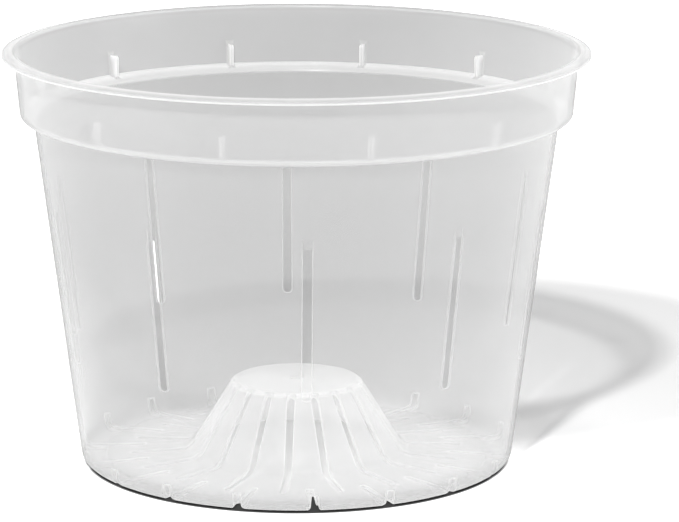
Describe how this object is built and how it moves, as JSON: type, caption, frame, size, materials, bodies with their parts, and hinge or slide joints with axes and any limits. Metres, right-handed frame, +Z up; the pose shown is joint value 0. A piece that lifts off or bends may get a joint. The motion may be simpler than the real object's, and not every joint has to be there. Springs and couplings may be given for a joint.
{
  "type": "orchid pot",
  "caption": "Clear tapered orchid pot with a deep stacking collar, tall wall slots, a notched foot and a slotted cone that rises from the middle of its floor.",
  "frame": {"origin": "centre of the circle that the pot stands on, on the surface that it stands on", "axes": "+Z up along the pot's axis, out of the mouth; -Y is the front that the picture shows, +X its right"},
  "size_m": [0.1524, 0.1524, 0.1085],
  "materials": {
    "clear_polypropylene": "thin, slightly hazy see-through plastic"
  },
  "bodies": {
    "root": {"rim_lip": "clear_polypropylene", "stacking_collar": "clear_polypropylene", "stacking_ledge": "clear_polypropylene", "stacking_lugs": "clear_polypropylene", "slotted_wall": "clear_polypropylene", "foot_ring": "clear_polypropylene", "slotted_floor": "clear_polypropylene", "root_cone": "clear_polypropylene", "cone_cap": "clear_polypropylene"}
  },
  "joints": []
}
